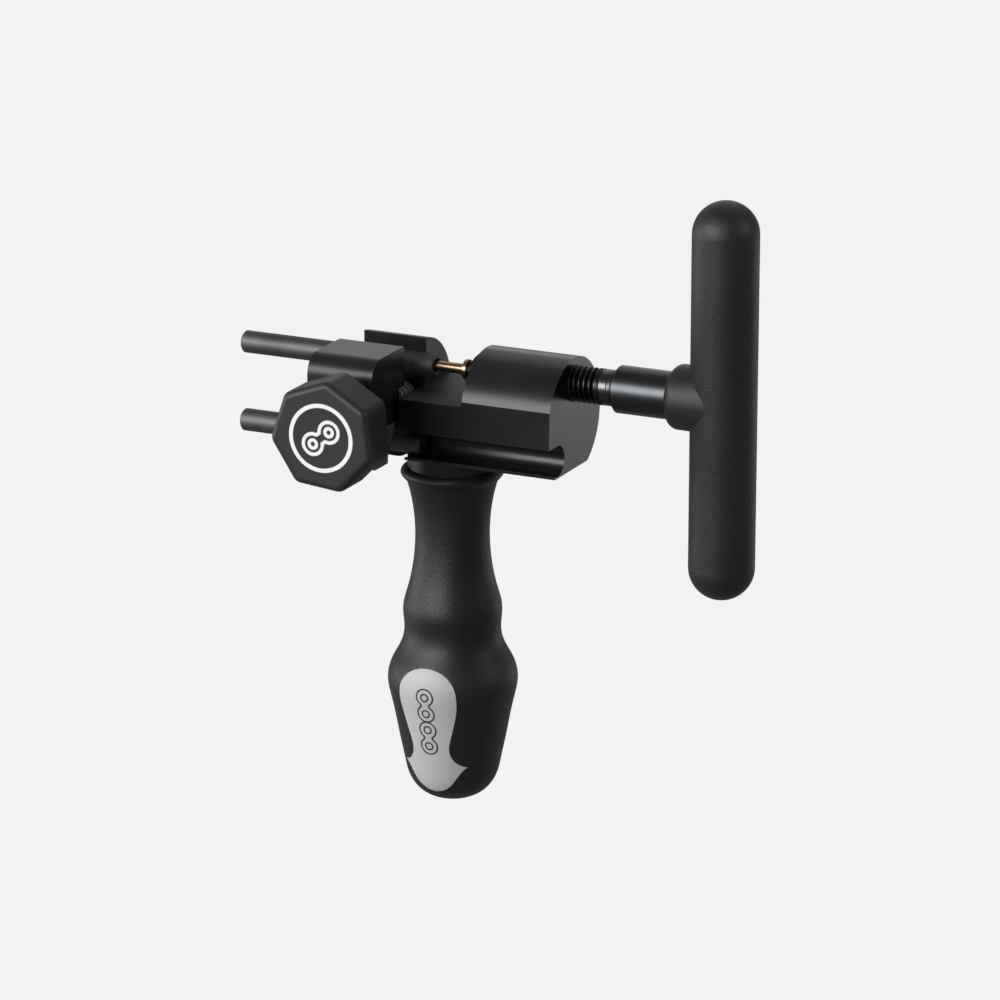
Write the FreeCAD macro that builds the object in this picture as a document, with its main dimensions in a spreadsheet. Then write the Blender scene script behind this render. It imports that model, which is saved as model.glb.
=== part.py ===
import FreeCAD, Part
import os
import re

import Sketcher
from FreeCAD import Placement, Rotation, Vector

# Bench chain tool for bicycle chains, in millimetres.
# The origin is the chain seat: the point on the driver screw's axis straight above the handle's axis.
# +X runs along the driver screw towards its T-handle, +Y to the back of the tool, +Z up.

# ---------------------------------------------------------------------------------------------
# Driving dimensions
# ---------------------------------------------------------------------------------------------
SIZES = {
    # body: a round bar with a flat front, a flat bottom and a square lower front corner
    "bar_radius": 16.6,
    "bar_drop": 9.55,           # the bar's centre lies this far below the screw's axis
    "body_left": -27.3,
    "body_right": 36.4,
    "front_flat": -15.8,
    "bottom_flat": -23.8,
    "bottom_flat_left": -14.0,
    "gap_left": -8.4,
    "gap_right": 10.5,
    "gap_floor": -5.7,
    "gap_fillet": 1.6,
    "split_face": 1.4,          # front face of the fixed jaw
    "shelf_top": -14.5,         # ledge under which the riveting rod is stored
    "shelf_front": -7.0,
    "groove_radius": 4.3,
    "groove_back": -10.5,
    "groove_height": -19.05,
    "groove_lip": -12.3,
    # the two rods that the clamp holds
    "rod_radius": 3.1,
    "rod_seat_clearance": 0.08,
    "rod_chamfer": 0.5,
    "anvil_left": -63.4,
    "anvil_right": -4.5,
    "anvil_hole_radius": 1.9,
    "anvil_hole_depth": 15.0,
    "rivet_left": -58.8,
    "rivet_right": -3.9,
    "rivet_back": -9.6,
    "rivet_height": -19.25,
    "rivet_dimple": 1.2,
    # clamp: moving jaw, its screw and its knob
    "jaw_left": -28.7,
    "jaw_right": -9.4,
    "jaw_top": 7.3,
    "jaw_bottom": -22.8,
    "jaw_front": -29.5,
    "jaw_back": -10.3,
    "jaw_relief": -13.2,        # back face below the pad that presses on the rod
    "jaw_relief_top": -3.6,
    "jaw_ledge": -12.0,
    "jaw_ledge_front": -15.6,
    "jaw_heel": -20.2,
    "jaw_round": 5.4,
    "jaw_small_round": 2.0,
    "clamp_across": -15.0,
    "clamp_height": -9.1,
    "stud_radius": 2.5,
    "stud_clearance": 0.08,
    "stud_front": -44.0,
    "stud_back": 8.8,
    "dowel_across": -22.9,
    "dowel_radius": 2.0,
    "dowel_front": -24.0,
    "dowel_back": 6.0,
    "dowel_bore_end": 13.6,
    "spring_radius": 3.3,
    "spring_wire": 0.6,
    "spring_pocket": 3.0,
    "spring_pocket_radius": 3.7,
    "washer_radius": 7.5,
    "washer_thickness": 0.95,
    "face_gap": 0.05,
    "knob_front": -48.3,
    "knob_back": -36.0,
    "knob_radius": 15.65,
    "knob_corner": 3.0,
    "knob_edge": 1.8,
    "knob_turn": 33.0,          # angle of one corner above +X
    "boss_radius": 8.2,
    "insert_radius": 5.5,
    "insert_front": -45.0,
    # driver: pin, screw, collar and T-handle
    "pin_radius": 1.42,
    "pin_tip": -7.8,
    "pin_flange_radius": 2.8,
    "pin_flange_left": 4.2,
    "pin_flange_right": 5.2,
    "pin_tail": 17.0,
    "screw_tip": 5.25,
    "screw_nose_radius": 2.5,
    "screw_shoulder": 7.1,
    "screw_radius": 4.95,
    "screw_clearance": 0.09,
    "screw_chamfer": 1.1,
    "thread_end": 44.9,
    "neck_radius": 4.9,
    "neck_end": 47.8,
    "stem_radius": 4.2,
    "screw_end": 85.0,
    "retainer_left": 9.0,
    "retainer_right": 11.0,
    "retainer_radius": 2.6,
    "collar_radius": 6.45,
    "collar_lead": 0.8,
    "collar_chamfer": 1.2,
    "hub_left": 65.2,
    "hub_radius": 8.8,
    "hub_round": 2.6,
    "tee_across": 79.7,
    "tee_radius": 8.95,
    "tee_half": 54.5,
    "tee_core_radius": 3.0,
    "tee_core_half": 44.0,
    # handle
    "shank_radius": 4.0,
    "shank_top": -15.0,
    "shank_bottom": -104.0,
    "shank_flange": 7.0,
    "ring_radius": 12.2,
    "ring_bottom": -27.4,
    "core_radius": 7.4,
    "core_bottom": -112.0,
    "badge_depth": 0.7,
    "badge_front": 0.05,
}

doc = FreeCAD.newDocument("chain_tool")
sheet = doc.addObject("Spreadsheet::Sheet", "Sizes")
for row, (alias, value) in enumerate(SIZES.items(), start=1):
    sheet.set(f"A{row}", alias)
    sheet.set(f"B{row}", str(value))
    sheet.setAlias(f"B{row}", alias)
doc.recompute()


def bound(text):
    """The expression with every driving dimension's name pointing at its cell."""
    return re.sub(r"[a-z_]+", lambda m: f"Sizes.{m[0]}" if m[0] in SIZES else m[0], text)


def number(text):
    """The value of an expression of driving dimensions."""
    return float(sheet.evalExpression(bound(text)))


# ---------------------------------------------------------------------------------------------
# Helpers for bodies made from sketches
# ---------------------------------------------------------------------------------------------
PARTS = []


def new_body(name):
    body = doc.addObject("PartDesign::Body", name)
    body.Label = name
    PARTS.append(body)
    return body


def new_sketch(body, name, plane, offset="0"):
    """An empty sketch on one of the body's own origin planes, moved along its normal."""
    sketch = body.newObject("Sketcher::SketchObject", name)
    origin_plane = next(f for f in body.Origin.OriginFeatures if f.Role == plane)
    sketch.AttachmentSupport = [(origin_plane, "")]
    sketch.MapMode = "FlatFace"
    sketch.setExpression("AttachmentOffset.Base.z", bound(offset))
    return sketch


def bind_point(sketch, geometry, vertex, across, up):
    """Ties a sketch point to its two distances from the sketch's origin."""
    for kind, text, axis in (("DistanceX", across, -2), ("DistanceY", up, -1)):
        value = number(text)
        if abs(value) < 1e-9:
            sketch.addConstraint(Sketcher.Constraint("PointOnObject", geometry, vertex, axis))
            continue
        index = sketch.addConstraint(Sketcher.Constraint(kind, -1, 1, geometry, vertex, value))
        sketch.setExpression(f"Constraints[{index}]", bound(text))


def draw_outline(sketch, corners):
    """A closed outline of straight edges; each corner is a pair of expressions."""
    points = [Vector(number(across), number(up), 0) for across, up in corners]
    first = sketch.GeometryCount
    count = len(points)
    for i in range(count):
        sketch.addGeometry(Part.LineSegment(points[i], points[(i + 1) % count]), False)
    for i in range(count):
        following = first + (i + 1) % count
        sketch.addConstraint(Sketcher.Constraint("Coincident", first + i, 2, following, 1))
        bind_point(sketch, first + i, 1, *corners[i])


def draw_circle(sketch, across, up, radius):
    centre = Vector(number(across), number(up), 0)
    index = sketch.addGeometry(Part.Circle(centre, Vector(0, 0, 1), number(radius)), False)
    bind_point(sketch, index, 3, across, up)
    size = sketch.addConstraint(Sketcher.Constraint("Radius", index, number(radius)))
    sketch.setExpression(f"Constraints[{size}]", bound(radius))


def add_feature(body, kind, sketch, length=None, flip=False):
    """A pad or pocket of the sketch; with no length a pocket goes through everything both ways."""
    feature = body.newObject(f"PartDesign::{kind}", f"{sketch.Name}_{kind.lower()}")
    feature.Profile = sketch
    if length is None:
        feature.Type = 1
        feature.Midplane = True
    else:
        feature.setExpression("Length", bound(length))
        feature.Reversed = flip
    sketch.Visibility = False
    doc.recompute()
    return feature


def cut(body, sketch, length=None, flip=False):
    """A pocket that has to remove material."""
    before = body.Shape.Volume
    feature = add_feature(body, "Pocket", sketch, length, flip)
    if not body.Shape.Volume < before - 1e-6:
        raise RuntimeError(f"{feature.Name} removes nothing")
    return feature


def revolved(name, axis, corners):
    """A turned piece; corners are (along the axis, radius) pairs."""
    body = new_body(name)
    sketch = new_sketch(body, f"{name}_profile", "XZ_Plane")
    if axis == "X":
        draw_outline(sketch, corners)
        reference = "H_Axis"
    else:
        draw_outline(sketch, [(radius, along) for along, radius in corners])
        reference = "V_Axis"
    feature = body.newObject("PartDesign::Revolution", f"{name}_turned")
    feature.Profile = sketch
    feature.ReferenceAxis = (sketch, [reference])
    feature.Angle = 360
    sketch.Visibility = False
    doc.recompute()
    return body


def round_edges(body, radius, wanted):
    """A fillet on the edges that the test accepts."""
    base = body.Tip
    names = [f"Edge{i + 1}" for i, edge in enumerate(base.Shape.Edges) if wanted(edge)]
    fillet = body.newObject("PartDesign::Fillet", f"{body.Name}_round_{len(body.Group)}")
    fillet.Base = (base, names)
    fillet.setExpression("Radius", bound(radius))
    doc.recompute()
    return fillet


def edge_at(**place):
    """A test for straight or round edges whose ends all lie at the given coordinates."""
    def wanted(edge):
        box = edge.BoundBox
        low = {"x": box.XMin, "y": box.YMin, "z": box.ZMin}
        high = {"x": box.XMax, "y": box.YMax, "z": box.ZMax}
        return all(abs(low[k] - v) < 1e-3 and abs(high[k] - v) < 1e-3 for k, v in place.items())
    return wanted


OUTSIDE = "100"     # a distance well outside the tool, for cuts that run out of it

# ---------------------------------------------------------------------------------------------
# Main body: one bar, padded along X, then milled
# ---------------------------------------------------------------------------------------------
main_body = new_body("main_body")
bar = new_sketch(main_body, "bar", "YZ_Plane", "body_left")
draw_circle(bar, "0", "-bar_drop", "bar_radius")
add_feature(main_body, "Pad", bar, "body_right - body_left")

toe = new_sketch(main_body, "toe", "YZ_Plane", "gap_left")
draw_outline(toe, [("front_flat", "-bar_drop"), ("front_flat", "bottom_flat"),
                   ("0", "bottom_flat"), ("0", "-bar_drop")])
add_feature(main_body, "Pad", toe, "body_right - gap_left")

front = new_sketch(main_body, "front", "YZ_Plane")
draw_outline(front, [("front_flat", OUTSIDE), ("-" + OUTSIDE, OUTSIDE),
                     ("-" + OUTSIDE, "-" + OUTSIDE), ("front_flat", "-" + OUTSIDE)])
cut(main_body, front)

bottom = new_sketch(main_body, "bottom", "XZ_Plane")
draw_outline(bottom, [("bottom_flat_left", "bottom_flat"), (OUTSIDE, "bottom_flat"),
                      (OUTSIDE, "-" + OUTSIDE), ("bottom_flat_left", "-" + OUTSIDE)])
cut(main_body, bottom)

groove = new_sketch(main_body, "groove", "YZ_Plane", "gap_left")
draw_circle(groove, "groove_back", "groove_height", "groove_radius")
cut(main_body, groove, "body_right - gap_left", flip=True)

LIP_DROP = "sqrt(groove_radius ^ 2 - (groove_lip - groove_back) ^ 2)"
mouth = new_sketch(main_body, "groove_mouth", "YZ_Plane")
draw_outline(mouth, [("-" + OUTSIDE, "groove_height + groove_radius"),
                     ("groove_back", "groove_height + groove_radius"),
                     ("groove_back", "groove_height"),
                     ("groove_lip", "groove_height - " + LIP_DROP),
                     ("groove_lip", "-" + OUTSIDE), ("-" + OUTSIDE, "-" + OUTSIDE)])
cut(main_body, mouth)

chain_gap = new_sketch(main_body, "chain_gap", "XZ_Plane")
draw_outline(chain_gap, [("gap_left", "gap_floor"), ("gap_right", "gap_floor"),
                         ("gap_right", OUTSIDE), ("gap_left", OUTSIDE)])
cut(main_body, chain_gap)

jaw_space = new_sketch(main_body, "jaw_space", "XY_Plane", "shelf_top")
draw_outline(jaw_space, [("body_left - 1", "split_face"), ("gap_left", "split_face"),
                         ("gap_left", "-" + OUTSIDE), ("body_left - 1", "-" + OUTSIDE)])
cut(main_body, jaw_space, OUTSIDE, flip=True)

shelf = new_sketch(main_body, "shelf", "XY_Plane", "shelf_top")
draw_outline(shelf, [("body_left - 1", "shelf_front"), ("gap_left", "shelf_front"),
                     ("gap_left", "-" + OUTSIDE), ("body_left - 1", "-" + OUTSIDE)])
cut(main_body, shelf, OUTSIDE)

rod_seats = new_sketch(main_body, "rod_seats", "YZ_Plane", "body_left")
draw_circle(rod_seats, "0", "0", "rod_radius + rod_seat_clearance")
draw_circle(rod_seats, "rivet_back", "rivet_height", "rod_radius + rod_seat_clearance")
cut(main_body, rod_seats, "gap_left - body_left", flip=True)

screw_bore = new_sketch(main_body, "screw_bore", "YZ_Plane", "gap_right")
draw_circle(screw_bore, "0", "0", "screw_radius + screw_clearance")
cut(main_body, screw_bore, "body_right - gap_right", flip=True)

# The XZ plane's normal points to the front, so distances along it count from front to back as minus.
stud_bore = new_sketch(main_body, "stud_bore", "XZ_Plane", "-split_face")
draw_circle(stud_bore, "clamp_across", "clamp_height", "stud_radius + stud_clearance")
cut(main_body, stud_bore, OUTSIDE)

dowel_bore = new_sketch(main_body, "dowel_bore", "XZ_Plane", "-split_face")
draw_circle(dowel_bore, "dowel_across", "clamp_height", "dowel_radius + stud_clearance")
cut(main_body, dowel_bore, "dowel_bore_end - split_face")

shank_bore = new_sketch(main_body, "shank_bore", "XY_Plane", "bottom_flat")
draw_circle(shank_bore, "0", "0", "shank_radius")
cut(main_body, shank_bore, "shank_top - bottom_flat", flip=True)

round_edges(main_body, "gap_fillet",
            edge_at(x=number("gap_right"), z=number("gap_floor")))

# ---------------------------------------------------------------------------------------------
# The two rods: the hollow anvil that backs the chain, and the solid rod for riveting
# ---------------------------------------------------------------------------------------------
anvil_rod = revolved("anvil_rod", "X", [
    ("0", "0"),
    ("0", "rod_radius - rod_chamfer"),
    ("rod_chamfer", "rod_radius"),
    ("anvil_right - anvil_left - rod_chamfer / 2", "rod_radius"),
    ("anvil_right - anvil_left", "rod_radius - rod_chamfer / 2"),
    ("anvil_right - anvil_left", "anvil_hole_radius + rod_chamfer / 2"),
    ("anvil_right - anvil_left - rod_chamfer / 2", "anvil_hole_radius"),
    ("anvil_right - anvil_left - anvil_hole_depth", "anvil_hole_radius"),
    ("anvil_right - anvil_left - anvil_hole_depth - anvil_hole_radius / 2", "0"),
])
anvil_rod.setExpression("Placement.Base.x", bound("anvil_left"))

riveting_rod = revolved("riveting_rod", "X", [
    ("0", "0"),
    ("0", "rod_radius - rod_chamfer"),
    ("rod_chamfer", "rod_radius"),
    ("rivet_right - rivet_left - rod_chamfer", "rod_radius"),
    ("rivet_right - rivet_left", "rod_radius - rod_chamfer"),
    ("rivet_right - rivet_left", "rivet_dimple"),
    ("rivet_right - rivet_left - rivet_dimple / 2", "0"),
])
riveting_rod.setExpression("Placement.Base.x", bound("rivet_left"))
riveting_rod.setExpression("Placement.Base.y", bound("rivet_back"))
riveting_rod.setExpression("Placement.Base.z", bound("rivet_height"))

# ---------------------------------------------------------------------------------------------
# Clamp: the jaw slides on a dowel and on the knob's screw, and a spring opens it
# ---------------------------------------------------------------------------------------------
front_jaw = new_body("front_jaw")
jaw_profile = new_sketch(front_jaw, "jaw_profile", "YZ_Plane", "jaw_left")
draw_outline(jaw_profile, [
    ("jaw_relief", "jaw_relief_top"),
    ("jaw_back", "jaw_relief_top"),
    ("jaw_back", "jaw_top"),
    ("jaw_front", "jaw_top"),
    ("jaw_front", "jaw_bottom"),
    ("jaw_heel", "jaw_bottom"),
    ("jaw_heel + 0.2", "rivet_height"),
    ("jaw_heel + 0.7", "rivet_height + 1.9"),
    ("jaw_ledge_front - 1.1", "rivet_height + 3.7"),
    ("jaw_ledge_front", "jaw_ledge - 1"),
    ("jaw_ledge_front", "jaw_ledge"),
    ("jaw_relief", "jaw_ledge"),
])
add_feature(front_jaw, "Pad", jaw_profile, "jaw_right - jaw_left")

# Round boss under the ledge, which carries the clamp's screw and its spring.
jaw_bosses = new_sketch(front_jaw, "jaw_bosses", "XZ_Plane", "-jaw_relief")
draw_circle(jaw_bosses, "clamp_across", "clamp_height", "spring_pocket_radius + 1.3")
add_feature(front_jaw, "Pad", jaw_bosses, "jaw_relief - jaw_heel")

jaw_stud_bore = new_sketch(front_jaw, "jaw_stud_bore", "XZ_Plane")
draw_circle(jaw_stud_bore, "clamp_across", "clamp_height", "stud_radius + stud_clearance")
cut(front_jaw, jaw_stud_bore)
jaw_dowel_bore = new_sketch(front_jaw, "jaw_dowel_bore", "XZ_Plane", "-jaw_back")
draw_circle(jaw_dowel_bore, "dowel_across", "clamp_height", "dowel_radius")
cut(front_jaw, jaw_dowel_bore, "jaw_back - dowel_front", flip=True)
spring_pocket = new_sketch(front_jaw, "spring_pocket_cut", "XZ_Plane", "-jaw_relief")
draw_circle(spring_pocket, "clamp_across", "clamp_height", "spring_pocket_radius")
cut(front_jaw, spring_pocket, "spring_pocket", flip=True)
round_edges(front_jaw, "jaw_round",
            edge_at(y=number("jaw_front"), z=number("jaw_top")))
round_edges(front_jaw, "jaw_small_round",
            edge_at(y=number("jaw_front"), z=number("jaw_bottom")))

# Pieces turned about the clamp's screw axis are drawn along Z, then laid along Y.
ALONG_Y = Rotation(Vector(1, 0, 0), -90)


def place_on_clamp(body, across):
    body.Placement = Placement(Vector(number(across), 0, number("clamp_height")), ALONG_Y)
    body.setExpression("Placement.Base.x", bound(across))
    body.setExpression("Placement.Base.z", bound("clamp_height"))


jaw_dowel = revolved("jaw_guide_dowel", "Z", [
    ("dowel_front", "0"), ("dowel_front", "dowel_radius"),
    ("dowel_back - 0.4", "dowel_radius"), ("dowel_back", "dowel_radius - 0.4"),
    ("dowel_back", "0")])
place_on_clamp(jaw_dowel, "dowel_across")

SPRING_START = "jaw_relief - spring_pocket"
clamp_spring = revolved("clamp_spring", "Z", [
    (SPRING_START, "spring_radius - spring_wire"), (SPRING_START, "spring_radius"),
    ("split_face", "spring_radius"), ("split_face", "spring_radius - spring_wire")])
place_on_clamp(clamp_spring, "clamp_across")

WASHER_BACK = "jaw_front - face_gap"
clamp_washer = revolved("clamp_washer", "Z", [
    (WASHER_BACK, "stud_radius"), (WASHER_BACK, "washer_radius"),
    (WASHER_BACK + " - washer_thickness", "washer_radius"),
    (WASHER_BACK + " - washer_thickness", "stud_radius")])
place_on_clamp(clamp_washer, "clamp_across")

clamp_stud = revolved("clamp_stud", "Z", [
    ("stud_front", "0"), ("stud_front", "stud_radius"),
    ("stud_back - 0.8", "stud_radius"), ("stud_back", "stud_radius - 0.8"),
    ("stud_back", "0")])
place_on_clamp(clamp_stud, "clamp_across")

BOSS_BACK = WASHER_BACK + " - washer_thickness"
knob_insert = revolved("knob_insert", "Z", [
    ("insert_front", "0"), ("insert_front", "insert_radius"),
    (BOSS_BACK, "insert_radius"), (BOSS_BACK, "stud_radius"),
    ("stud_front", "stud_radius"), ("stud_front", "0")])
place_on_clamp(knob_insert, "clamp_across")

knob = new_body("knob")
knob_face = new_sketch(knob, "knob_face", "XY_Plane", "knob_front")
KNOB_SIDES = 7
draw_outline(knob_face, [
    (f"knob_radius * cos(knob_turn + {360 * side / KNOB_SIDES})",
     f"-knob_radius * sin(knob_turn + {360 * side / KNOB_SIDES})")
    for side in range(KNOB_SIDES)])
add_feature(knob, "Pad", knob_face, "knob_back - knob_front")
round_edges(knob, "knob_corner",
            lambda edge: edge.BoundBox.ZLength > number("knob_back - knob_front") - 0.01)
round_edges(knob, "knob_edge", edge_at(z=number("knob_front")))
round_edges(knob, "knob_edge / 2", edge_at(z=number("knob_back")))
knob_boss = new_sketch(knob, "knob_boss", "XY_Plane", "knob_back")
draw_circle(knob_boss, "0", "0", "boss_radius")
add_feature(knob, "Pad", knob_boss, BOSS_BACK + " - knob_back")
knob_bore = new_sketch(knob, "knob_bore", "XY_Plane", "insert_front")
draw_circle(knob_bore, "0", "0", "insert_radius")
cut(knob, knob_bore, BOSS_BACK + " - insert_front", flip=True)
place_on_clamp(knob, "clamp_across")

# ---------------------------------------------------------------------------------------------
# Driver: the pin that pushes the chain's rivet, and the screw that drives it
# ---------------------------------------------------------------------------------------------
driver_pin = revolved("driver_pin", "X", [
    ("pin_tip", "0"), ("pin_tip", "pin_radius - 0.3"), ("pin_tip + 0.3", "pin_radius"),
    ("pin_flange_left", "pin_radius"), ("pin_flange_left", "pin_flange_radius"),
    ("pin_flange_right", "pin_flange_radius"), ("pin_flange_right", "pin_radius"),
    ("pin_tail", "pin_radius"), ("pin_tail", "0")])

PIN_BORE = "pin_radius + 0.05"
pressure_screw = revolved("pressure_screw", "X", [
    ("screw_tip", PIN_BORE), ("screw_tip", "screw_nose_radius"),
    ("screw_shoulder", "screw_nose_radius"), ("screw_shoulder", "screw_radius - screw_chamfer"),
    ("screw_shoulder + screw_chamfer", "screw_radius"), ("thread_end", "screw_radius"),
    ("thread_end", "neck_radius"), ("neck_end", "neck_radius"),
    ("neck_end", "stem_radius"), ("screw_end", "stem_radius"), ("screw_end", "0"),
    ("pin_tail + 0.3", "0"), ("pin_tail + 0.3", PIN_BORE),
    ("retainer_right", PIN_BORE), ("retainer_right", "retainer_radius"),
    ("retainer_left", "retainer_radius"), ("retainer_left", PIN_BORE)])
eye = new_sketch(pressure_screw, "tee_eye", "XY_Plane")
draw_circle(eye, "tee_across", "0", "tee_core_radius")
cut(pressure_screw, eye)

pin_retainer = revolved("pin_retaining_ring", "X", [
    ("retainer_left + 0.05", PIN_BORE), ("retainer_left + 0.05", "retainer_radius - 0.05"),
    ("retainer_right - 0.05", "retainer_radius - 0.05"), ("retainer_right - 0.05", PIN_BORE)])

screw_collar = revolved("screw_collar", "X", [
    ("neck_end", "stem_radius"), ("neck_end", "neck_radius"),
    ("neck_end + collar_lead", "neck_radius"),
    ("neck_end + collar_lead + collar_chamfer", "collar_radius"), ("hub_left", "collar_radius"),
    ("hub_left", "stem_radius")])

tee_core = revolved("t_handle_core", "Z", [
    ("-tee_core_half", "0"), ("-tee_core_half", "tee_core_radius"),
    ("tee_core_half", "tee_core_radius"), ("tee_core_half", "0")])
tee_core.setExpression("Placement.Base.x", bound("tee_across"))


def solid_feature(name, shape):
    """A piece whose shape is worked out here from the sheet's sizes."""
    feature = doc.addObject("Part::Feature", name)
    feature.Label = name
    feature.Shape = shape
    feature.Placement = Placement()
    PARTS.append(feature)
    return feature


def make_tee_grip():
    """Round-ended bar and hub moulded in one over the cross rod and the screw's end."""
    radius = number("tee_radius")
    centre = Vector(number("tee_across"), 0, 0)
    reach = number("tee_half - tee_radius")
    grip = Part.makeCylinder(radius, 2 * reach, centre - Vector(0, 0, reach))
    for end in (-reach, reach):
        grip = grip.fuse(Part.makeSphere(radius, centre + Vector(0, 0, end)))
    hub = Part.makeCylinder(number("hub_radius"), number("tee_across - hub_left"),
                            Vector(number("hub_left"), 0, 0), Vector(1, 0, 0))
    rim = [e for e in hub.Edges if abs(e.BoundBox.XMax - number("hub_left")) < 1e-3]
    hub = hub.makeFillet(number("hub_round"), rim)
    grip = grip.fuse(hub).removeSplitter()
    core = Part.makeCylinder(number("tee_core_radius"), number("2 * tee_core_half"),
                             centre - Vector(0, 0, number("tee_core_half")))
    stem = Part.makeCylinder(number("stem_radius"), number("screw_end - hub_left + 1"),
                             Vector(number("hub_left - 1"), 0, 0), Vector(1, 0, 0))
    return grip.cut(core.fuse(stem))


tee_grip = solid_feature("t_handle_grip", make_tee_grip())

# ---------------------------------------------------------------------------------------------
# Handle: a shank screwed into the body, a hard core, a soft grip, a ring and a badge
# ---------------------------------------------------------------------------------------------
handle_ring = revolved("handle_ring", "Z", [
    ("bottom_flat", "shank_radius"), ("bottom_flat", "ring_radius"),
    ("ring_bottom", "ring_radius"), ("ring_bottom", "shank_radius")])

handle_shank = revolved("handle_shank", "Z", [
    ("shank_top", "0"), ("shank_top", "shank_radius - 0.8"),
    ("shank_top - 0.8", "shank_radius"), ("shank_bottom + 14", "shank_radius"),
    ("shank_bottom + 14", "shank_radius - 1"), ("shank_bottom + 10", "shank_radius - 1"),
    ("shank_bottom + 10", "shank_radius"), ("shank_bottom", "shank_radius"),
    ("shank_bottom", "0")])

handle_core = revolved("handle_core", "Z", [
    ("ring_bottom", "shank_radius"), ("ring_bottom", "core_radius + 2.4"),
    ("ring_bottom - 2.4", "core_radius"), ("core_bottom + 2", "core_radius"),
    ("core_bottom", "core_radius - 2"), ("core_bottom", "0"),
    ("shank_bottom", "0"), ("shank_bottom", "shank_radius"),
    ("shank_bottom + 10", "shank_radius"), ("shank_bottom + 10", "shank_radius - 1"),
    ("shank_bottom + 14", "shank_radius - 1"), ("shank_bottom + 14", "shank_radius")])

# The grip's side from its top lip to its domed end: (height, radius) at each bulge and waist.
GRIP_LIP = [(-27.4, 12.2), (-27.9, 13.5), (-29.1, 14.1), (-30.4, 13.3), (-31.2, 12.5)]
GRIP_SIDE = [(-31.2, 12.5), (-34.9, 11.5), (-40.0, 10.6), (-46.5, 10.2), (-52.0, 10.45),
             (-57.2, 11.15), (-62.3, 12.35), (-67.9, 13.62), (-72.6, 13.3), (-77.9, 14.15),
             (-83.2, 16.85), (-87.5, 17.9), (-93.7, 16.9), (-104.2, 14.8), (-113.0, 13.0)]
GRIP_END = -122.85
END_ROUND = 7.0             # reach of the dome below the last point of the side
END_FLAT = 0.55             # share of the radius over which its foot stays nearly flat


def grip_solid(shrink=0.0):
    """The grip's outer form turned about Z, made thinner all round by shrink."""
    def curve(points, **ends):
        spline = Part.BSplineCurve()
        spline.interpolate([Vector(r - shrink, 0, z) for z, r in points], **ends)
        return spline.toShape()

    lip = curve(GRIP_LIP)
    side = curve(GRIP_SIDE)
    height, radius = GRIP_SIDE[-1]
    taper = Vector(GRIP_SIDE[-1][1] - GRIP_SIDE[-2][1], 0, GRIP_SIDE[-1][0] - GRIP_SIDE[-2][0])
    dome = Part.BezierCurve()
    foot = GRIP_END + shrink
    dome.setPoles([Vector(radius - shrink, 0, height),
                   Vector(radius - shrink, 0, height) + taper.normalize() * END_ROUND,
                   Vector((radius - shrink) * END_FLAT, 0, foot), Vector(0, 0, foot)])
    closing = [dome.toShape(),
               Part.makeLine(Vector(0, 0, foot), Vector(0, 0, GRIP_LIP[0][0])),
               Part.makeLine(Vector(0, 0, GRIP_LIP[0][0]),
                             Vector(GRIP_LIP[0][1] - shrink, 0, GRIP_LIP[0][0]))]
    wire = Part.Wire([lip, side] + closing)
    return Part.Face(wire).revolve(Vector(), Vector(0, 0, 1), 360)


# The badge's right-hand edge, from its rounded top past a waist to a pointed tip, then its foot.
BADGE_SIDE = [(0, -81.2), (4.9, -82.5), (7.9, -85.8), (8.6, -89.6), (7.7, -95.5), (6.1, -101.3),
              (5.45, -105.0), (6.4, -108.1), (9.3, -110.1)]
BADGE_FOOT = [(9.3, -110.1), (7.3, -112.3), (5.0, -115.6), (2.4, -117.6), (0, -118.1)]


def badge_prism():
    """The badge's outline, pushed through the grip from the front."""
    edges = []
    for half in (BADGE_SIDE, BADGE_FOOT):
        mirrored = [(-across, up) for across, up in reversed(half)]
        whole = mirrored + half[1:] if half is BADGE_SIDE else half + mirrored[1:]
        curve = Part.BSplineCurve()
        curve.interpolate([Vector(across, 0, up) for across, up in whole])
        edges.append(curve.toShape())
    return Part.Face(Part.Wire(edges)).extrude(Vector(0, -30, 0))


core_space = handle_core.Shape.fuse(handle_shank.Shape)
badge_band = grip_solid(-number("badge_front")).cut(grip_solid(number("badge_depth")))
grip_badge = solid_feature("grip_badge", badge_band.common(badge_prism()))
grip_outer = grip_solid().cut(core_space)
badge_space = badge_prism().cut(grip_solid(number("badge_depth")))
handle_grip = solid_feature("handle_grip", grip_outer.cut(badge_space))

# ---------------------------------------------------------------------------------------------
# Checks, then one file for each piece
# ---------------------------------------------------------------------------------------------
doc.recompute()
for item in doc.Objects:
    if {"Invalid", "Error"} & set(item.State):
        raise RuntimeError(f"{item.Label} failed: {item.State}")
os.makedirs("parts", exist_ok=True)
for part in PARTS:
    shape = part.Shape
    if shape.isNull() or not shape.isValid() or not shape.Solids:
        raise RuntimeError(f"{part.Label} has no valid solid")
    shape.exportStep(os.path.join("parts", part.Label + ".step"))
    print(f"{part.Label}: {len(shape.Solids)} solid, {shape.Volume:.1f} mm3")
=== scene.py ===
import math

import bpy
import numpy as np
from mathutils import Matrix, Vector


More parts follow.
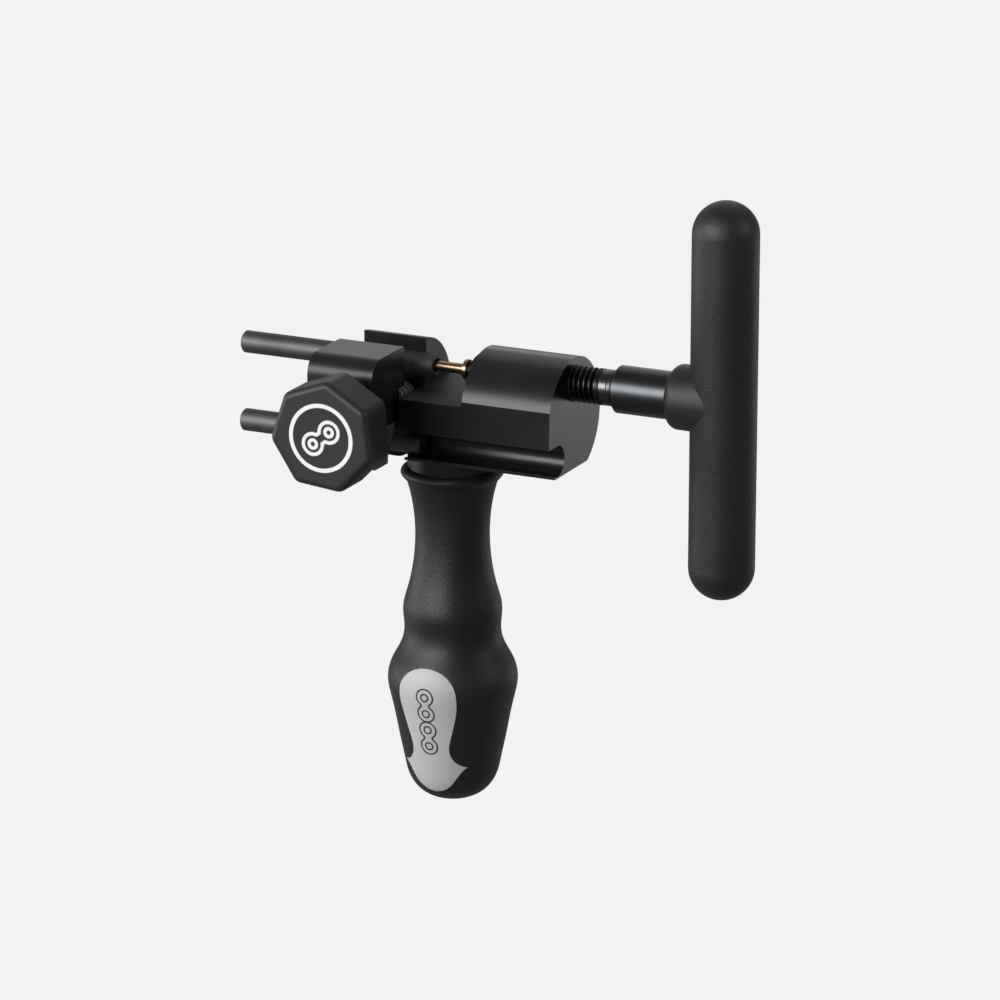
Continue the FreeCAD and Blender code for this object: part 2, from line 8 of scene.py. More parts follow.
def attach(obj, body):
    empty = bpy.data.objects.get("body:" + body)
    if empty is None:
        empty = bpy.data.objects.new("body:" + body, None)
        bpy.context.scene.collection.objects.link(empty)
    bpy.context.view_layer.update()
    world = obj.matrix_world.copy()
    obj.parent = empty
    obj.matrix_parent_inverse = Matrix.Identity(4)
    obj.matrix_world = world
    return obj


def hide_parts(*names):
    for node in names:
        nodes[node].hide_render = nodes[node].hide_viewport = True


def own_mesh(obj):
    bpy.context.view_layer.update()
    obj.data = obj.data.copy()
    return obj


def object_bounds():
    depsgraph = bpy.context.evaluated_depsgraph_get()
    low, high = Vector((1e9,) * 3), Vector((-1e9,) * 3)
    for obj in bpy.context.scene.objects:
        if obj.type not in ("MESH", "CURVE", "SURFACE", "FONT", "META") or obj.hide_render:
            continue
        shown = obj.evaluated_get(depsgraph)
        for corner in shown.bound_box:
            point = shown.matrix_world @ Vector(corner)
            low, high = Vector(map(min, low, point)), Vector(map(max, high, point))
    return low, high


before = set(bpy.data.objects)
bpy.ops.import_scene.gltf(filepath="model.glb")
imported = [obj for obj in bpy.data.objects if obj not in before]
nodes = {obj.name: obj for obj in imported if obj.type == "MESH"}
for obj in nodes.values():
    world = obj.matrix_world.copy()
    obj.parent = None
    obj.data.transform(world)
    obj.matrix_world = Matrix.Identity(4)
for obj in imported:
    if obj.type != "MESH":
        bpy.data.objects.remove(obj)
cad_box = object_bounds()
MM = 0.001


# ---- Studio ---------------------------------------------------------------------------------
# A room of pale paper, its floor well below the tool, that nothing reflects; a dim surround
# and soft boxes that light the tool. None of it belongs to the tool. The camera is a long lens.
class Value:
    """A number that varies over a surface. Arithmetic on it adds Math nodes to its tree."""

    def __init__(self, tree, socket):
        self.tree = tree
        self.socket = socket

    def math(self, operation, *terms):
        made = self.tree.nodes.new("ShaderNodeMath")
        made.operation = operation
        for slot, term in zip(made.inputs, (self, *terms)):
            if isinstance(term, Value):
                self.tree.links.new(term.socket, slot)
            else:
                slot.default_value = term
        return Value(self.tree, made.outputs[0])

    def __add__(self, other):
        return self.math("ADD", other)

    __radd__ = __add__

    def __mul__(self, other):
        return self.math("MULTIPLY", other)

    __rmul__ = __mul__

    def __sub__(self, other):
        return self.math("SUBTRACT", other)

    def __rsub__(self, other):
        return (self * -1.0).math("ADD", other)

    def __pow__(self, power):
        return self.math("POWER", power)

    def __abs__(self):
        return self.math("ABSOLUTE")

    def most(self, other):
        return self.math("MAXIMUM", other)

    def step(self, low, high):
        """0 below low, 1 above high, and a smooth rise between them."""
        made = self.tree.nodes.new("ShaderNodeMapRange")
        made.interpolation_type = "SMOOTHSTEP"
        made.inputs["From Min"].default_value = low
        made.inputs["From Max"].default_value = high
        self.tree.links.new(self.socket, made.inputs["Value"])
        return Value(self.tree, made.outputs["Result"])


class Finish:
    """A node tree under construction. node() adds a node, and the rest are its shorthands."""

    def __init__(self, tree):
        self.tree = tree

    def node(self, kind, settings=(), inputs=(), output=0):
        made = self.tree.nodes.new(kind)
        for name, setting in dict(settings).items():
            setattr(made, name, setting)
        for name, value in dict(inputs).items():
            if isinstance(value, Value):
                self.tree.links.new(value.socket, made.inputs[name])
            else:
                made.inputs[name].default_value = value
        return Value(self.tree, made.outputs[output])

    def colour(self, factor, low, high):
        """The colour low where factor is 0 and high where it is 1."""
        return self.node("ShaderNodeMix", {"data_type": "RGBA"},
                         {0: factor, 6: colour4(low), 7: colour4(high)}, output=2)

    def place(self, source="Object"):
        """Across, depth and height in millimetres, from the piece's own coordinates."""
        point = self.node("ShaderNodeTexCoord", output=source)
        parts = [self.node("ShaderNodeSeparateXYZ", inputs={0: point}, output=i) for i in range(3)]
        return [part * (1 / MM) for part in parts]

    def noise(self, per_mm, detail=2.0, rough=0.5, stretch=(1, 1, 1)):
        """Cloudy noise from 0 to 1, with per_mm lumps in a millimetre along each axis."""
        point = self.node("ShaderNodeTexCoord", output="Object")
        scale = [per_mm * share / MM for share in stretch]
        scaled = self.node("ShaderNodeVectorMath", {"operation": "MULTIPLY"}, {0: point, 1: scale})
        return self.node("ShaderNodeTexNoise", inputs={"Vector": scaled, "Scale": 1.0,
                                                       "Detail": detail, "Roughness": rough})

    def edge(self, radius):
        """1 on sharp edges, falling to 0 within radius millimetres of them."""
        soft = self.node("ShaderNodeBevel", {"samples": 6}, {"Radius": radius * MM})
        hard = self.node("ShaderNodeNewGeometry", output="Normal")
        along = self.node("ShaderNodeVectorMath", {"operation": "DOT_PRODUCT"},
                          {0: soft, 1: hard}, output="Value")
        return (1.0 - along).step(0.01, 0.2)


def colour4(colour):
    return colour if isinstance(colour, Value) else (*colour, 1.0)


world = bpy.data.worlds.new("studio")
bpy.context.scene.world = world
world.use_nodes = True
surround = Finish(world.node_tree)
sky_x, sky_y, sky_z = (part * MM for part in surround.place("Generated"))
FRONT_LIGHT = 0.12          # the surround's brightness in front of the tool
BACK_LIGHT = 0.22           # and behind it
behind = (sky_y * 0.86 - sky_x * 0.41).step(-0.25, 0.55)
level = behind * (BACK_LIGHT - FRONT_LIGHT) + FRONT_LIGHT
background = world.node_tree.nodes["Background"]
background.inputs["Color"].default_value = (0.985, 0.99, 1.0, 1.0)
world.node_tree.links.new(level.socket, background.inputs["Strength"])

FLOOR_DROP = 0.26           # metres below the tool's lowest point
ROOM_REACH = 6.0           # half the width of the paper surround
ROOM_HEIGHT = 6.0
floor_height = cad_box[0].z - FLOOR_DROP
room_mesh = bpy.data.meshes.new("studio_paper")
outline = [(-ROOM_REACH, -ROOM_REACH), (ROOM_REACH, -ROOM_REACH),
           (ROOM_REACH, ROOM_REACH), (-ROOM_REACH, ROOM_REACH)]
room_mesh.from_pydata([(x, y, floor_height + rise) for rise in (0, ROOM_HEIGHT) for x, y in outline],
                      [], [(0, 1, 2, 3), (4, 5, 6, 7), (0, 1, 5, 4), (1, 2, 6, 5), (2, 3, 7, 6),
                           (3, 0, 4, 7)])
room = bpy.data.objects.new("studio_paper", room_mesh)
bpy.context.scene.collection.objects.link(room)
paper = bpy.data.materials.new("pale_paper")
paper.use_nodes = True
paper_shader = paper.node_tree.nodes["Principled BSDF"]
paper_shader.inputs["Base Color"].default_value = (0.02, 0.02, 0.02, 1.0)
paper_shader.inputs["Roughness"].default_value = 1.0
paper_shader.inputs["Specular IOR Level"].default_value = 0.0
paper_shader.inputs["Emission Color"].default_value = (1.0, 1.0, 1.0, 1.0)
paper_shader.inputs["Emission Strength"].default_value = 0.88
room_mesh.materials.append(paper)
room.visible_glossy = False         # the tool reflects the surround and the soft boxes alone
room.visible_diffuse = False
room.visible_shadow = False


def soft_box(name, azimuth, elevation, distance, width, height, radiance):
    """A rectangular lamp facing the tool; azimuth 0 is in front, 90 is beyond the T-handle."""
    a = math.radians(azimuth)
    e = math.radians(elevation)
    out = Vector((math.sin(a) * math.cos(e), -math.cos(a) * math.cos(e), math.sin(e)))
    data = bpy.data.lights.new(name, "AREA")
    data.shape = "RECTANGLE"
    data.size = width
    data.size_y = height
    data.energy = radiance * math.pi * width * height
    lamp = bpy.data.objects.new(name, data)
    lamp.location = out * distance
    lamp.rotation_mode = "QUATERNION"
    lamp.rotation_quaternion = out.to_track_quat("Z", "Y")
    lamp.visible_camera = False
    bpy.context.scene.collection.objects.link(lamp)
    return lamp


soft_box("front_box", azimuth=-25, elevation=19, distance=1.9, width=2.1, height=0.94, radiance=6.4)
soft_box("left_box", azimuth=-80, elevation=-4, distance=2.0, width=1.2, height=0.66, radiance=3.4)
soft_box("right_box", azimuth=100, elevation=22, distance=2.2, width=0.8, height=0.9, radiance=3.2)
soft_box("back_top_box", azimuth=-154, elevation=17, distance=1.9, width=1.1, height=0.42,
         radiance=1.3)
soft_box("back_right_box", azimuth=154, elevation=-12, distance=1.1, width=0.5, height=0.22,
         radiance=1.1)
soft_box("back_fill_box", azimuth=-172, elevation=48, distance=2.0, width=1.6, height=1.0,
         radiance=0.6)

VIEW_RIGHT = Vector((0.9026, 0.4305, 0.0))
VIEW_UP = Vector((-0.1259, 0.2639, 0.9563))
VIEW_BACK = Vector((0.4117, -0.8632, 0.2924))
EYE_RIGHT = 12.97 * MM
EYE_UP = -35.8 * MM
EYE_BACK = 1351.0 * MM
camera_data = bpy.data.cameras.new("camera")
camera_data.sensor_width = 36.0
camera_data.lens = 180.0
camera_data.clip_start = 0.05
camera_data.clip_end = 60.0
camera = bpy.data.objects.new("camera", camera_data)
turn = Matrix((VIEW_RIGHT, VIEW_UP, VIEW_BACK)).transposed()
camera.rotation_mode = "QUATERNION"
camera.rotation_quaternion = turn.to_quaternion()
camera.location = VIEW_RIGHT * EYE_RIGHT + VIEW_UP * EYE_UP + VIEW_BACK * EYE_BACK
bpy.context.scene.collection.objects.link(camera)
bpy.context.scene.camera = camera
bpy.context.scene.view_settings.view_transform = "Standard"


# ---- Body, jaw and handle ring ----------------------------------------------------------------
# Milled from aluminium bar and anodised satin black. Faint cutter lines run along the bar, the sharp
# edges are lighter, partly from thinner film and partly as a painted highlight, and handling leaves
# soft cloudy patches. The end of the jaw's lower leg carries a painted light patch of bare-looking
# metal.
def new_finish(name, **constants):
    """A material on the main shader, with the sockets that are the same all over set on it."""
    material = bpy.data.materials.new(name)
    material.use_nodes = True
    shader = material.node_tree.nodes["Principled BSDF"]
    for socket, value in constants.items():
        shader.inputs[socket.replace("_", " ")].default_value = value
    return material, Finish(material.node_tree)


def drive(material, **inputs):
    """Links varying values to the main shader's sockets."""
    shader = material.node_tree.nodes["Principled BSDF"]
    for socket, value in inputs.items():
        material.node_tree.links.new(value.socket, shader.inputs[socket.replace("_", " ")])


def relief(finish, height, strength=1.0):
    """A Normal from a height in millimetres."""
    return finish.node("ShaderNodeBump", inputs={"Height": height, "Distance": MM,
                                                 "Strength": strength})


def dress(material, *names):
    """Gives CAD nodes their finish."""
    for name in names:
        mesh = nodes[name].data
        mesh.materials.clear()
        mesh.materials.append(material)


def nowhere(finish):
    """A mask that is 0 all over."""
    return finish.place()[0] * 0.0


def gap_floor(finish):
    """1 on the floor of the chain gap, which is left as it was milled."""
    across, depth, height = finish.place()
    return across.step(-8.5, -8.3) * (1.0 - across.step(10.4, 10.6)) * height.step(-6.0, -5.8)


def painted_light_heel(finish):
    """1 on the end of the jaw's lower leg, painted as bare metal: a painted light patch where light
    falls there.
    """
    across, depth, height = finish.place()
    return across.step(-9.6, -9.5) * (1.0 - height.step(-12.5, -12.2))


def anodised(name, line_stretch, roughness=0.23, milled=nowhere, lit_patch=nowhere):
    """Satin black anodising over cutter lines that run along the axis with the least stretch."""
    material, film = new_finish(name, Specular_IOR_Level=0.5, Metallic=0.0)
    lines = film.noise(5.0, 2.0, 0.6, line_stretch)
    clouds = film.noise(0.06, 3.0, 0.55)
    grain = film.noise(9.0, 1.0, 0.5)
    # Lighter along sharp edges: partly worn film, partly a painted highlight where a rounded edge
    # would catch the light.
    edge_wear_and_highlight = film.edge(0.35) * film.noise(0.5, 3.0, 0.7).step(0.3, 0.75)
    tone = film.colour(clouds.step(0.3, 0.7), (0.0085, 0.0085, 0.009), (0.013, 0.013, 0.0135))
    tone = film.colour(edge_wear_and_highlight * 0.55, tone, (0.16, 0.16, 0.165))
    coarse = milled(film)
    # A painted light patch: the jaw's lower end face is made bare-looking metal where light falls on
    # it.
    lit_patch_mask = lit_patch(film)
    drive(material,
          Base_Color=film.colour(lit_patch_mask, tone, (0.5, 0.5, 0.5)),
          Metallic=lit_patch_mask,
          Roughness=clouds * 0.08 + lines * 0.06 + coarse * 0.3 + lit_patch_mask * 0.15 + roughness,
          Normal=relief(film, lines * 0.0016 + grain * 0.0011))
    return material


dress(anodised("black_anodised_body", (0.03, 1, 1), milled=gap_floor), "main_body")
dress(anodised("black_anodised_jaw", (0.03, 1, 1), roughness=0.31, lit_patch=painted_light_heel), "front_jaw")
dress(anodised("black_anodised_ring", (1, 1, 0.2)), "handle_ring")


# ---- Rods -----------------------------------------------------------------------------------
# Two ground steel rods, blackened and oiled to a dark satin grey. The upper one is hollow at
# its right end to take the rivet, and the lower one is parked under the shelf.
def rod_finish(name):
    material, steel = new_finish(name, Metallic=1.0)
    grinding = steel.noise(1.0, 3.0, 0.6, (9, 0.5, 0.5))
    patches = steel.noise(0.15, 3.0, 0.6)
    # The rods are painted lighter along sharp edges: partly edge wear, partly a painted highlight.
    edge_wear_and_highlight = steel.edge(0.3)
    tone = steel.colour(patches.step(0.3, 0.7), (0.125, 0.125, 0.127), (0.16, 0.16, 0.162))
    drive(material,
          Base_Color=steel.colour(edge_wear_and_highlight * 0.5, tone, (0.3, 0.3, 0.3)),
          Roughness=grinding * 0.12 + patches * 0.08 + 0.48,
          Normal=relief(steel, grinding * 0.0018))
    return material


dress(rod_finish("blackened_rod_steel"), "anvil_rod", "riveting_rod")

# ---- Driver pin -----------------------------------------------------------------------------
# A hard pin with a bronze-coloured coating, turned with a small flange that seats against
# the screw's tip. Its end polishes bright against the chain's rivets.
pin_finish, bronze = new_finish("bronze_coating", Metallic=1.0)
pin_x, pin_y, pin_z = bronze.place()
rings = bronze.noise(1.0, 2.0, 0.5, (14, 0.3, 0.3))
tip = 1.0 - pin_x.step(-7.6, -5.2)
drive(pin_finish,
      Base_Color=bronze.colour(tip * 0.6, (0.42, 0.27, 0.17), (0.55, 0.48, 0.4)),
      Roughness=rings * 0.12 + 0.2,
      Normal=relief(bronze, rings * 0.0025))
dress(pin_finish, "driver_pin")


# ---- Driver screw ---------------------------------------------------------------------------
# M10 x 1.5 screw in blackened steel, bored at its tip for the pin, with a chamfered start and
# a plain neck behind the thread. The thread's crests are rubbed brighter than its roots.
def surface(name, points, pole_start=False, pole_end=False):
    """A mesh from rows of points; each row is closed on itself, and a pole is a row in one point."""
    rows, ring = points.shape[:2]
    index = np.arange(rows * ring).reshape(rows, ring)
    here, ahead = index[:-1], index[1:]
    quads = np.stack([here, np.roll(here, -1, 1), np.roll(ahead, -1, 1), ahead], -1).reshape(-1, 4)
    flat = points.reshape(-1, 3)
    faces = quads.tolist()
    if pole_start:
        flat = np.vstack([flat, points[0].mean(0)])
        fan = np.stack([np.full(ring, len(flat) - 1), np.roll(index[0], -1), index[0]], -1)
        faces += fan.tolist()
    if pole_end:
        flat = np.vstack([flat, points[-1].mean(0)])
        fan = np.stack([np.full(ring, len(flat) - 1), index[-1], np.roll(index[-1], -1)], -1)
        faces += fan.tolist()
    mesh = bpy.data.meshes.new(name)
    mesh.from_pydata(flat.tolist(), [], faces)
    mesh.polygons.foreach_set("use_smooth", np.ones(len(mesh.polygons), bool))
    mesh.update()
    made = bpy.data.objects.new(name, mesh)
    bpy.context.scene.collection.objects.link(made)
    return made


def threaded(along, around, major, pitch):
    """Radius of a 60 degree thread: the crest, less 1.73 times the distance past its flat.

    The distance is taken along the axis from the nearest crest line, which advances one
    pitch in each turn, and the cut stops at the ISO root depth, 0.613 of the pitch."""
    turns = along / pitch - around / (2 * np.pi)
    from_crest = np.abs(turns - np.round(turns)) * pitch
    cut = np.clip((from_crest - pitch / 14) * np.sqrt(3.0), 0, 0.6134 * pitch)
    return major - cut


def profile_rows(corners, step):
    """(along, radius) corners joined by straight runs, each divided into steps of this length."""
    runs = []
    for (a0, r0), (a1, r1) in zip(corners[:-1], corners[1:]):
        count = max(1, math.ceil(math.hypot(a1 - a0, r1 - r0) / step))
        share = np.linspace(0, 1, count, endpoint=False)[:, None]
        runs.append(np.array([[a0, r0]]) + share * np.array([[a1 - a0, r1 - r0]]))
    runs.append(np.array([corners[-1]]))
    return np.vstack(runs)


SCREW_PITCH = 1.5
SCREW_MAJOR = 4.95
ON_AXIS = 0.02              # radius of the small ring that a closed end shrinks to
BORE_RADIUS = 1.47          # hole for the pin's tail
BORE_END = 17.3
RETAINER_RADIUS = 2.6       # groove for the ring that holds the pin
RETAINER_LEFT = 9.0
RETAINER_RIGHT = 11.0
NOSE_START = 5.25
NOSE_RADIUS = 2.5
THREAD_START = 7.1
THREAD_END = 44.9
SHOULDER_RADIUS = 3.85      # where the thread's chamfer begins
CHAMFER = 1.1
RUNOUT_RADIUS = 4.7         # fine groove between the thread and the neck
NECK_RADIUS = 4.88
NECK_END = 47.79
STEM_RADIUS = 4.18
STEM_END = 76.3
SCREW_RING = 72
bore = [(BORE_END, ON_AXIS), (BORE_END, BORE_RADIUS), (RETAINER_RIGHT, BORE_RADIUS),
        (RETAINER_RIGHT, RETAINER_RADIUS), (RETAINER_LEFT, RETAINER_RADIUS),
        (RETAINER_LEFT, BORE_RADIUS), (NOSE_START + 0.15, BORE_RADIUS),
        (NOSE_START, BORE_RADIUS + 0.15), (NOSE_START, NOSE_RADIUS - 0.2),
        (NOSE_START + 0.2, NOSE_RADIUS), (THREAD_START, NOSE_RADIUS),
        (THREAD_START, SHOULDER_RADIUS)]
shank = [(THREAD_START, SHOULDER_RADIUS), (THREAD_START + CHAMFER, SCREW_MAJOR),
         (THREAD_END - 1.0, SCREW_MAJOR), (THREAD_END, SCREW_MAJOR)]
neck = [(THREAD_END, SCREW_MAJOR), (THREAD_END + 0.05, RUNOUT_RADIUS),
        (THREAD_END + 0.2, RUNOUT_RADIUS), (THREAD_END + 0.4, NECK_RADIUS),
        (NECK_END, NECK_RADIUS), (NECK_END, STEM_RADIUS), (STEM_END, STEM_RADIUS),
        (STEM_END, ON_AXIS)]
runs = [profile_rows(bore, 0.4), profile_rows(shank, SCREW_PITCH / 22), profile_rows(neck, 0.5)]
rows = np.vstack(runs)
on_thread = np.repeat([False, True, False], [len(run) for run in runs])
angle = np.linspace(0, 2 * np.pi, SCREW_RING, endpoint=False)
along, limit = rows[:, :1], rows[:, 1:]
fade = np.clip((THREAD_END - along) / 1.2, 0, 1)
cut_thread = threaded(along, angle[None, :], SCREW_MAJOR, SCREW_PITCH)
cut_thread = SCREW_MAJOR - (SCREW_MAJOR - cut_thread) * fade
radius = np.where(on_thread[:, None], np.minimum(cut_thread, limit), limit)
screw_points = np.stack([np.broadcast_to(along, radius.shape),
                         radius * np.cos(angle), radius * np.sin(angle)], -1) * MM
screw = surface("driver_screw", screw_points, pole_start=True, pole_end=True)
screw_finish, black_steel = new_finish("blackened_screw_steel", Metallic=1.0)
sx, sy, sz = black_steel.place()
reach = (sy * sy + sz * sz) ** 0.5
crest = reach.step(4.55, 4.93)
cutting = black_steel.noise(1.0, 3.0, 0.6, (10, 1.2, 1.2))
dirt = black_steel.noise(0.4, 3.0, 0.6).step(0.35, 0.7)
drive(screw_finish,
      Base_Color=black_steel.colour(
          (crest * (dirt * 0.5 + 0.35)).most(sx.step(THREAD_END, THREAD_END + 0.3)),
          (0.02, 0.02, 0.021), (0.12, 0.122, 0.126)),
      Roughness=cutting * 0.14 + (1.0 - crest) * 0.16 + 0.2,
      Normal=relief(black_steel, cutting * 0.002))
screw.data.materials.append(screw_finish)
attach(screw, "screw")
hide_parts("pressure_screw")

# ---- Collar -----------------------------------------------------------------------------------
# A steel sleeve, ground and polished, then blackened: glossy, with fine rings from the lathe.
collar_finish, collar = new_finish("gloss_black_collar", Metallic=1.0)
turning = collar.noise(1.0, 3.0, 0.6, (16, 0.4, 0.4))
smears = collar.noise(0.25, 3.0, 0.6)
# The collar is painted lighter along its sharp edges: a painted highlight, partly edge wear.
drive(collar_finish,
      Base_Color=collar.colour(collar.edge(0.3), (0.078, 0.084, 0.088), (0.3, 0.31, 0.32)),
      Roughness=smears * 0.08 + turning * 0.05 + 0.26,
      Normal=relief(collar, turning * 0.0012))
dress(collar_finish, "screw_collar")


# ---- T-handle and grip --------------------------------------------------------------------------
# Soft black elastomer moulded over hard cores: the T-handle's round-ended bar with its hub,
# and the waisted grip with its lip. Both have the fine spark-eroded grain of the mould.
def soft_black(name, dark, light, roughness):
    """Matt elastomer: a fine pebbled grain, faint cloudy tone and slightly polished swells."""
    material, rubber = new_finish(name, Specular_IOR_Level=0.5)
    pebbles = rubber.noise(1.8, 3.0, 0.6)
    fine = rubber.noise(7.0, 1.0, 0.5)
    clouds = rubber.noise(0.05, 3.0, 0.6)
    drive(material,
          Base_Color=rubber.colour(clouds.step(0.3, 0.7), dark, light),
          Roughness=clouds * 0.10 + fine * 0.08 + roughness,
          Normal=relief(rubber, pebbles * 0.10 + fine * 0.025))
    return material


dress(soft_black("soft_black_bar", (0.014, 0.014, 0.0144), (0.019, 0.019, 0.0195), 0.37),
      "t_handle_grip")
dress(soft_black("soft_black_grip", (0.010, 0.010, 0.0104), (0.014, 0.014, 0.0145), 0.36),
      "handle_grip")


# ---- Badge ----------------------------------------------------------------------------------
# A silver-grey inlay set flush into the grip, with a plain row of chain links printed on it
# in thin dark outline, running up the handle.
def link_outline(across, up, half_pitch, ring, waist, hole, line):
    """Mask of a chain plate in outline: two rounds joined by a waist, with a hole in each.

    The distance to the plate is the smaller of that to the nearer round and to the waist bar,
    and the line is where a distance is within half the line's width of zero."""
    side = abs(across) - half_pitch
    round_distance = (side * side + up * up) ** 0.5
    bar = side.most(abs(up) - waist)
    plate = (round_distance - ring).math("SMOOTH_MIN", bar, 0.5)
    edge = 1.0 - abs(plate).step(line * 0.35, line * 0.65)
    eye = 1.0 - abs(round_distance - hole).step(line * 0.35, line * 0.65)
    return edge.most(eye)


badge_finish, inlay = new_finish("silver_inlay", Specular_IOR_Level=0.4)
bx, by, bz = inlay.place()
LINK_PITCH = 9.92           # from one printed link to the next, up the handle
FIRST_LINK = -91.4          # height of the upper link's middle
BADGE_LINK = dict(half_pitch=2.48, ring=2.42, waist=1.15, hole=1.05, line=0.46)
first = link_outline(bz - FIRST_LINK, bx, **BADGE_LINK)
second = link_outline(bz - FIRST_LINK + LINK_PITCH, bx, **BADGE_LINK)
printed = first.most(second)
speckle = inlay.noise(6.0, 2.0, 0.5)
drive(badge_finish,
      Base_Color=inlay.colour(printed,
                              inlay.colour(speckle, (0.50, 0.50, 0.505), (0.56, 0.56, 0.565)),
                              (0.03, 0.03, 0.03)),
      Roughness=speckle * 0.1 + 0.38,
      Normal=relief(inlay, speckle * 0.003 - printed * 0.02))
dress(badge_finish, "grip_badge")

# ---- Knob -----------------------------------------------------------------------------------
# Seven-sided knob moulded in hard black plastic with a fine matt grain. A plain white ring
# with a chain link in it is pad-printed on its face.
knob_finish, plastic = new_finish("moulded_knob", Specular_IOR_Level=0.5)
kx, ky, kz = plastic.place()
KNOB_ACROSS = -15.0
KNOB_HEIGHT = -9.1
PRINT_TURN = math.radians(38.0)
PRINT_RADIUS = 8.85
PRINT_LINE = 1.15
u, v = kx - KNOB_ACROSS, kz - KNOB_HEIGHT
ring_mask = 1.0 - abs((u * u + v * v) ** 0.5 - PRINT_RADIUS).step(PRINT_LINE * 0.44,
                                                                  PRINT_LINE * 0.56)
lengthways = u * math.cos(PRINT_TURN) + v * math.sin(PRINT_TURN)
sideways = v * math.cos(PRINT_TURN) - u * math.sin(PRINT_TURN)
link_mask = link_outline(lengthways, sideways, half_pitch=3.0, ring=2.8, waist=1.4, hole=1.1,
                         line=0.95)
FACE_DEPTH = -48.2          # the knob's flat front, where the print is
on_face = 1.0 - ky.step(FACE_DEPTH, FACE_DEPTH + 0.1)
ink = ring_mask.most(link_mask) * on_face
pebble = plastic.noise(2.2, 3.0, 0.6)
tint = plastic.noise(0.08, 3.0, 0.6)
drive(knob_finish,
      Base_Color=plastic.colour(ink, plastic.colour(tint, (0.018, 0.018, 0.0185),
                                                    (0.026, 0.026, 0.0265)), (0.95, 0.95, 0.95)),
      Roughness=pebble * 0.08 + tint * 0.08 + ink * 0.1 + 0.4,
      Normal=relief(plastic, pebble * 0.03 * (1.0 - ink) + ink * 0.02))
dress(knob_finish, "knob")

# ---- Clamp spring -----------------------------------------------------------------------------
# A compression spring wound from bright 0.6 mm wire, with closed ends, between the jaw's pocket and
# the body.
SPRING_FRONT = -16.2
SPRING_BACK = 1.4
COIL_RADIUS = 3.0
WIRE_RADIUS = 0.3
COILS = 8.5
CLOSED = 1.0                # coils laid flat at each end
WIRE_RING = 14


def coil_path(steps):
    """Helix about the clamp's axis; its lead is one wire at each end and even between them."""
    turn_count = np.linspace(0, COILS, steps)
    ease = np.clip((turn_count - CLOSED * 0.4) / (CLOSED * 0.6), 0, 1)
    ease *= np.clip((COILS - CLOSED * 0.4 - turn_count) / (CLOSED * 0.6), 0, 1)
    rise = np.concatenate([[0], np.cumsum(np.diff(turn_count) * (ease[1:] + ease[:-1]) / 2)])
    length = SPRING_BACK - SPRING_FRONT - 2 * WIRE_RADIUS
    flat_rise = turn_count * 2 * WIRE_RADIUS * 1.02
    spare = length - flat_rise[-1]
    depth = SPRING_FRONT + WIRE_RADIUS + flat_rise + rise / rise[-1] * spare
    around = turn_count * 2 * np.pi
    return np.stack([KNOB_ACROSS + COIL_RADIUS * np.cos(around), depth,
                     KNOB_HEIGHT + COIL_RADIUS * np.sin(around)], -1)


def tube(path, thickness, ring):
    """Points on a round wire along a path: its centre plus circles across its direction."""
    tangent = np.gradient(path, axis=0)
    tangent /= np.linalg.norm(tangent, axis=1, keepdims=True)
    outward = path - np.array([KNOB_ACROSS, 0, KNOB_HEIGHT])
    outward[:, 1] = 0
    outward -= tangent * (outward * tangent).sum(1, keepdims=True)
    outward /= np.linalg.norm(outward, axis=1, keepdims=True)
    side = np.cross(tangent, outward)
    around = np.linspace(0, 2 * np.pi, ring, endpoint=False)[None, :, None]
    offset = np.cos(around) * outward[:, None, :] + np.sin(around) * side[:, None, :]
    return path[:, None, :] + offset * thickness


spring = surface("clamp_coil_spring", tube(coil_path(420), WIRE_RADIUS, WIRE_RING) * MM,
                 pole_start=True, pole_end=True)
wire_finish, wire = new_finish("bright_spring_wire", Metallic=1.0)
drawn = wire.noise(2.0, 3.0, 0.6)
drive(wire_finish,
      Base_Color=wire.colour(drawn.step(0.3, 0.7), (0.8, 0.8, 0.8), (0.95, 0.95, 0.95)),
      Roughness=drawn * 0.12 + 0.36,
      Normal=relief(wire, drawn * 0.002))
spring.data.materials.append(wire_finish)
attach(spring, "jaw")
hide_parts("clamp_spring")
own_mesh(spring)

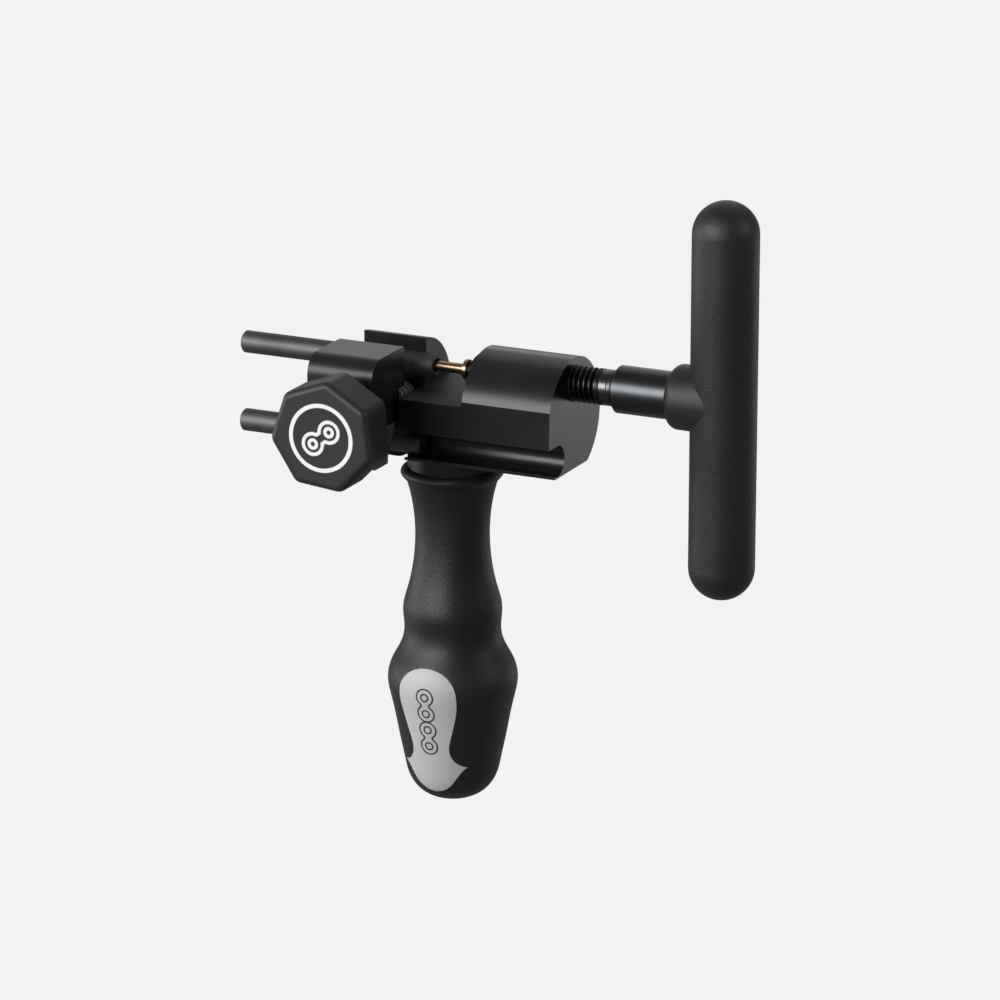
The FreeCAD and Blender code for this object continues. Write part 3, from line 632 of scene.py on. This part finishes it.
# ---- Clamp screw and small steel parts ----------------------------------------------------------
# The M5 screw that the knob turns, its washer, the jaw's guide dowel and the handle's shank:
# bright zinc-plated or ground steel. The knob's insert is brass and the grip's core hard plastic.
STUD_PITCH = 0.8
STUD_RADIUS = 2.5
STUD_FRONT = -43.99
STUD_BACK = 8.79
stud_profile = profile_rows([(STUD_FRONT, ON_AXIS), (STUD_FRONT, STUD_RADIUS - 0.4),
                             (STUD_FRONT + 0.44, STUD_RADIUS), (STUD_BACK - 0.69, STUD_RADIUS),
                             (STUD_BACK, STUD_RADIUS - 0.7), (STUD_BACK, ON_AXIS)],
                            STUD_PITCH / 14)
stud_angle = np.linspace(0, 2 * np.pi, 40, endpoint=False)[None, :]
stud_radius = np.minimum(threaded(stud_profile[:, :1], -stud_angle, STUD_RADIUS, STUD_PITCH),
                         stud_profile[:, 1:])
stud_points = np.stack([KNOB_ACROSS + stud_radius * np.sin(stud_angle),
                        np.broadcast_to(stud_profile[:, :1], stud_radius.shape),
                        KNOB_HEIGHT + stud_radius * np.cos(stud_angle)], -1) * MM
stud = surface("clamp_screw", stud_points, pole_start=True, pole_end=True)


def metal(name, low, high, roughness, lines):
    """Plain plated or turned metal with tool lines and cloudy tone."""
    material, plate = new_finish(name, Metallic=1.0)
    marks = plate.noise(1.0, 3.0, 0.6, lines)
    patches = plate.noise(0.3, 3.0, 0.6)
    drive(material,
          Base_Color=plate.colour(patches.step(0.3, 0.7), low, high),
          Roughness=marks * 0.1 + patches * 0.1 + roughness,
          Normal=relief(plate, marks * 0.002))
    return material


zinc = metal("bright_zinc", (0.42, 0.43, 0.45), (0.56, 0.57, 0.58), 0.2, (0.5, 12, 0.5))
stud.data.materials.append(zinc)
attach(stud, "knob")
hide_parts("clamp_stud")
dress(zinc, "clamp_washer", "jaw_guide_dowel")
dress(metal("turned_shank_steel", (0.4, 0.4, 0.41), (0.52, 0.52, 0.53), 0.25, (0.5, 0.5, 12)),
      "handle_shank", "t_handle_core")
dress(metal("ring_spring_steel", (0.35, 0.35, 0.36), (0.5, 0.5, 0.5), 0.25, (10, 1, 1)),
      "pin_retaining_ring")
dress(metal("turned_brass", (0.62, 0.46, 0.18), (0.74, 0.56, 0.25), 0.22, (0.5, 12, 0.5)),
      "knob_insert")
core_finish, core = new_finish("moulded_core", Specular_IOR_Level=0.5)
flow = core.noise(0.2, 3.0, 0.6)
drive(core_finish,
      Base_Color=core.colour(flow, (0.05, 0.05, 0.05), (0.08, 0.08, 0.08)),
      Roughness=flow * 0.15 + 0.4,
      Normal=relief(core, core.noise(4.0) * 0.004))
dress(core_finish, "handle_core")
